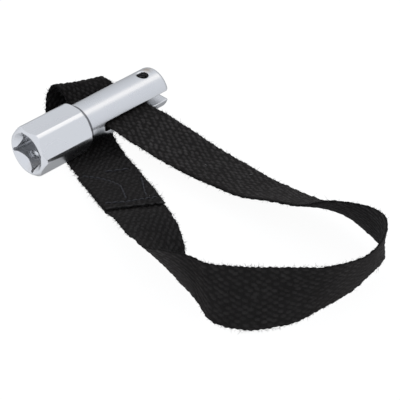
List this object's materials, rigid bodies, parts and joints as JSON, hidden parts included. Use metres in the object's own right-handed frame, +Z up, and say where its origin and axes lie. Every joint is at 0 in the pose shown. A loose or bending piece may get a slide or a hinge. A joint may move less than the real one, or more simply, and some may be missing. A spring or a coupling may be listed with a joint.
{
  "type": "strap oil filter wrench",
  "caption": "Strap wrench: a hexagon-headed steel driver with a square drive socket, whose lengthwise slot holds a sewn loop of webbing that grips a round filter.",
  "frame": {"origin": "under the middle of the whole tool, on the surface that it lies on", "axes": "+X along the driver, away from its square drive; +Y from the loop of webbing to the driver; +Z up"},
  "size_m": [0.0949, 0.1895, 0.0289],
  "materials": {
    "plated_steel": "bright satin plating over turned and milled steel",
    "spring_steel": "black oxidised spring steel",
    "webbing": "heavy black plain-woven webbing with a fuzzy selvedge",
    "thread": "thick bonded black sewing thread"
  },
  "bodies": {
    "driver": {"driver": "plated_steel", "spring_pin": "spring_steel", "webbing_wrap": "webbing"},
    "strap_loop": {"webbing_near_root": "webbing", "webbing_loop": "webbing", "webbing_lap_under": "webbing", "webbing_lap_over": "webbing", "stitches_cut_row": "thread", "stitches_driver_row": "thread", "stitches_slanting": "thread", "stitches_side": "thread"}
  },
  "joints": [
    {"name": "loop_swing", "type": "hinge", "parent": "driver", "child": "strap_loop", "pos_m": [-0.0285, 0.0654, 0.0123], "axis": [-1, 0, 0], "range_deg": [0, 60], "deforming": ["webbing_near_root", "webbing_lap_under", "webbing_lap_over"]}
  ]
}
